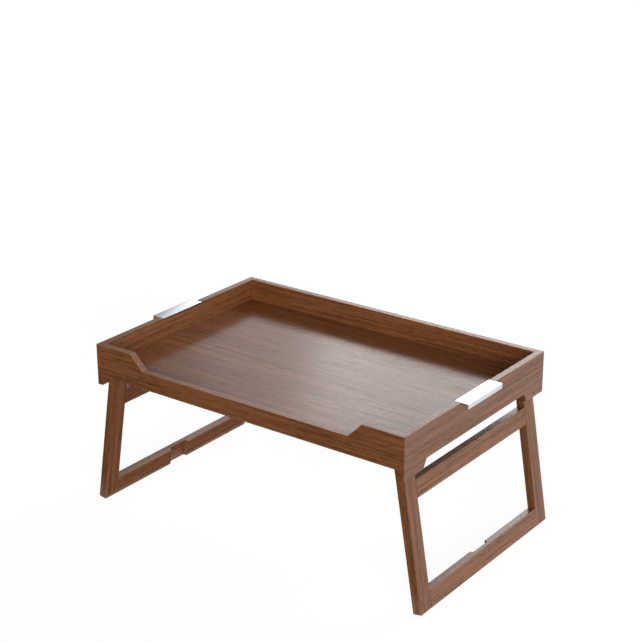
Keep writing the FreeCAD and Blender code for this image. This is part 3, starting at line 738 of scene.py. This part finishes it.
class BEDTRAY_OT_handles(bpy.types.Operator):
    """Bends the steel handle plates and sets their studs"""

    bl_idname = "bedtray.handles"
    bl_label = "Handle plates"

    def execute(self, context):
        metal = context.scene.bed_tray_metal
        for side in SIDES:
            low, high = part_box(f"{side}_handle_plate")
            inner = min(abs(low.x), abs(high.x))
            finish = handle_steel(f"steel_{side}_handle", inner + GAP_SHADE_REACH, high.z - GAP_SHADE_DROP)
            new_piece(f"{side}_handle_plate_bent", self.plate(side), finish, TRAY,
                      f"{side}_handle_plate")
            studs = turned_metal(f"steel_{side}_studs", metal.steel, 0.3, 900.0)
            finish_node(f"{side}_handle_studs", studs)
        return {"FINISHED"}

    @staticmethod
    def plate(side):
        """A bent strip: an L-shaped outline with rounded bend and edges, carried along Y.

        The outline is a list of arcs run round once.  Towards each end it is drawn in along its
        own normals by a quarter round, and the last outline is drawn to its middle as a cap.
        """
        low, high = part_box(f"{side}_handle_plate")
        way = SIDES[side]
        inner, outer = (low.x, high.x) if way > 0 else (-high.x, -low.x)
        thick, ease, bend = PLATE_THICK, PLATE_EASE, PLATE_BEND
        top, under, tip = high.z, high.z - thick, low.z
        turns = (((inner + ease, top - ease), ease, 180, 90),
                 ((outer - bend, top - bend), bend, 90, 0),
                 ((outer - ease, tip + ease), ease, 0, -90),
                 ((outer - thick + ease, tip + ease), ease, -90, -180),
                 ((outer - thick - ease, under - ease), ease, 0, 90),
                 ((inner + ease, under + ease), ease, 270, 180))
        angle = np.radians([np.linspace(start, stop, ARC_POINTS) for _, _, start, stop in turns])
        away = np.stack((np.cos(angle), np.sin(angle)), axis=-1)
        centre = np.array([turn[0] for turn in turns])[:, None]
        radius = np.array([turn[1] for turn in turns])[:, None, None]
        hollow = np.array([1.0 if stop > start else -1.0 for _, _, start, stop in turns])
        outline = (centre + radius * away).reshape(-1, 2)
        inward = (hollow[:, None, None] * away).reshape(-1, 2)
        swing = np.linspace(math.pi / 2, 0, ARC_POINTS)
        start = low.y + PLATE_GAP + ease * (1 - np.sin(swing))
        drawn = ease * (1 - np.cos(swing))
        y = np.concatenate((start[:1], start, -start[::-1], -start[:1]))
        inset = np.concatenate((drawn, drawn[::-1]))
        bodies = outline + inset[:, None, None] * inward
        middle = np.array((outer - thick / 2, top - thick / 2))
        cap = np.broadcast_to(middle, bodies[:1].shape)
        rows = np.concatenate((cap, bodies, cap))
        y = np.broadcast_to(y[:, None], rows.shape[:2])
        grid = np.stack((way * rows[..., 0], y, rows[..., 1]), axis=-1)
        return skin(f"{side}_handle_plate_bent", [grid])


class BEDTRAY_OT_pivots(bpy.types.Operator):
    """Turns the shoulder bolts, bushes, friction washers and threaded inserts"""

    bl_idname = "bedtray.pivots"
    bl_label = "Pivots"

    def execute(self, context):
        metal = context.scene.bed_tray_metal
        zinc = turned_metal("zinc_bolts", metal.zinc, 0.28, 2400.0)
        bush = turned_metal("brass_bushes", metal.brass, 0.25, 2600.0)
        insert = turned_metal("brass_inserts", metal.brass, 0.30, 900.0)
        washer = nylon("nylon_washers")
        for side in SIDES:
            self.turn(side, "pivot_bolts", self.bolt, zinc, TRAY, "bolt_steel")
            self.turn(side, "pivot_bushes", self.bush, bush, leg_body(side), "brass")
            self.turn(side, "friction_washers", self.washer, washer, TRAY, "nylon")
            self.turn(side, "threaded_inserts", self.insert, insert, TRAY, "brass")
        return {"FINISHED"}

    @staticmethod
    def turn(side, word, rows, finish, body, slot):
        """Two like parts, one at each end of the side's pivot line, in place of a node."""
        node = f"{side}_{word}"
        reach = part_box(node)[1].y
        grids = [on_pivot(side, end, grid) for end in ENDS for grid in rows(reach)]
        new_piece(f"{node}_turned", skin(f"{node}_turned", grids), finish, body, node)

    @staticmethod
    def bolt(tip):
        """Hexagon socket, knurled head, plain shoulder and, as a second surface, the thread."""
        ease = 0.2 * MM
        seat = tip - THREAD_LENGTH
        under = seat - SHOULDER_LENGTH
        top = under - HEAD_HEIGHT
        socket = rings(((top + DRILL_DEPTH, 0), (top + SOCKET_DEPTH, SOCKET_RADIUS),
                        (top + ease, SOCKET_RADIUS)), hexagon)
        face = rings(((top, SOCKET_RADIUS + ease), (top, HEAD_RADIUS - HEAD_CROWN),
                      (top + ease, HEAD_RADIUS - 0.25 * MM),
                      (top + 0.5 * MM, HEAD_RADIUS - KNURL_DEPTH)))
        grip = rings(((top + HEAD_CROWN, HEAD_RADIUS), (under - 0.6 * MM, HEAD_RADIUS)), knurl)
        shank = rings(((under - 0.4 * MM, HEAD_RADIUS - KNURL_DEPTH),
                       (under, HEAD_RADIUS - 0.4 * MM), (under, SHOULDER_RADIUS),
                       (seat - ease, SHOULDER_RADIUS), (seat, SHOULDER_RADIUS - ease),
                       (seat, 0)))
        along = np.arange(seat - ease, tip - 0.3 * MM, THREAD_PITCH / THREAD_ROWS)
        screw = rings([(row, THREAD_RADIUS) for row in along], thread)
        ends = rings(((along[0], 0), (tip, THREAD_RADIUS - THREAD_DEPTH), (tip, 0)))
        return (np.concatenate((socket, face, grip, shank)),
                np.concatenate((ends[:1], screw, ends[1:])))

    @staticmethod
    def bush(end):
        """A plain tube with chamfered ends."""
        start = end - BUSH_LENGTH
        ease = 0.25 * MM
        bore, outer = SHOULDER_RADIUS + BORE_PLAY, BUSH_RADIUS
        return (rings(((start, bore + ease), (start + ease, bore), (end - ease, bore),
                       (end, bore + ease), (end, outer - ease), (end - ease, outer),
                       (start + ease, outer), (start, outer - ease), (start, bore + ease))),)

    @staticmethod
    def washer(end):
        """A flat ring whose rim and bore are rounded."""
        bore, rim = SHOULDER_RADIUS + BORE_PLAY, WASHER_RADIUS
        turn = np.radians(np.linspace(-90, 90, ARC_POINTS))
        half = 0.5 * WASHER_THICK
        rim_rows = np.stack((end - half + half * np.sin(turn), rim - half + half * np.cos(turn)), 1)
        bore_rows = np.stack((end - half - half * np.sin(turn), bore + half - half * np.cos(turn)),
                             1)
        return (rings(np.concatenate((rim_rows, bore_rows, rim_rows[:1]))),)

    @staticmethod
    def insert(end):
        """Two knurled bands with a waist between them, and a thread down the bore."""
        start = end - INSERT_LENGTH
        band = INSERT_LENGTH / 3
        outer, waist, ease = INSERT_RADIUS, INSERT_WAIST, 0.3 * MM
        face = rings(((start, THREAD_RADIUS + ease), (start, outer - ease)))
        first = rings(((start + ease, outer), (start + band, outer)), knurl)
        middle = rings(((start + band, waist), (start + 2 * band, waist)))
        second = rings(((start + 2 * band, outer), (end - ease, outer)), knurl)
        back = rings(((end, outer - ease), (end, THREAD_RADIUS + ease)))
        along = np.arange(end, start, -THREAD_PITCH / THREAD_ROWS)
        bore = rings([(row, THREAD_RADIUS + THREAD_GAP) for row in along], thread)
        return (np.concatenate((face, first, middle, second, back, bore, face[:1])),)


class BEDTRAY_PT_panel(bpy.types.Panel):
    """Lists the pieces of the bed tray table"""

    bl_idname = "BEDTRAY_PT_panel"
    bl_label = "Bed Tray Table"
    bl_space_type = "VIEW_3D"
    bl_region_type = "UI"
    bl_category = "Bed Tray"

    def draw(self, context):
        for operator in OPERATORS:
            self.layout.operator(operator.bl_idname)
        for name, group in GROUPS.items():
            box = self.layout.box()
            for key in group.__annotations__:
                box.prop(getattr(context.scene, name), key)


OPERATORS = (BEDTRAY_OT_stage, BEDTRAY_OT_boards, BEDTRAY_OT_tray_floor, BEDTRAY_OT_leg_frames,
             BEDTRAY_OT_handles, BEDTRAY_OT_pivots)
GROUPS = {"bed_tray_walnut": BedTrayWalnut, "bed_tray_metal": BedTrayMetal,
          "bed_tray_studio": BedTrayStudio}


def register():
    for kind in (*GROUPS.values(), *OPERATORS, BEDTRAY_PT_panel):
        bpy.utils.register_class(kind)
    for name, group in GROUPS.items():
        setattr(bpy.types.Scene, name, PointerProperty(type=group))


def unregister():
    for name in GROUPS:
        delattr(bpy.types.Scene, name)
    for kind in reversed((*GROUPS.values(), *OPERATORS, BEDTRAY_PT_panel)):
        bpy.utils.unregister_class(kind)


def main():
    register()
    bpy.ops.bedtray.stage()
    bpy.ops.bedtray.boards()
    bpy.ops.bedtray.tray_floor()
    bpy.ops.bedtray.leg_frames()
    bpy.ops.bedtray.handles()
    bpy.ops.bedtray.pivots()


if __name__ == "__main__":
    main()
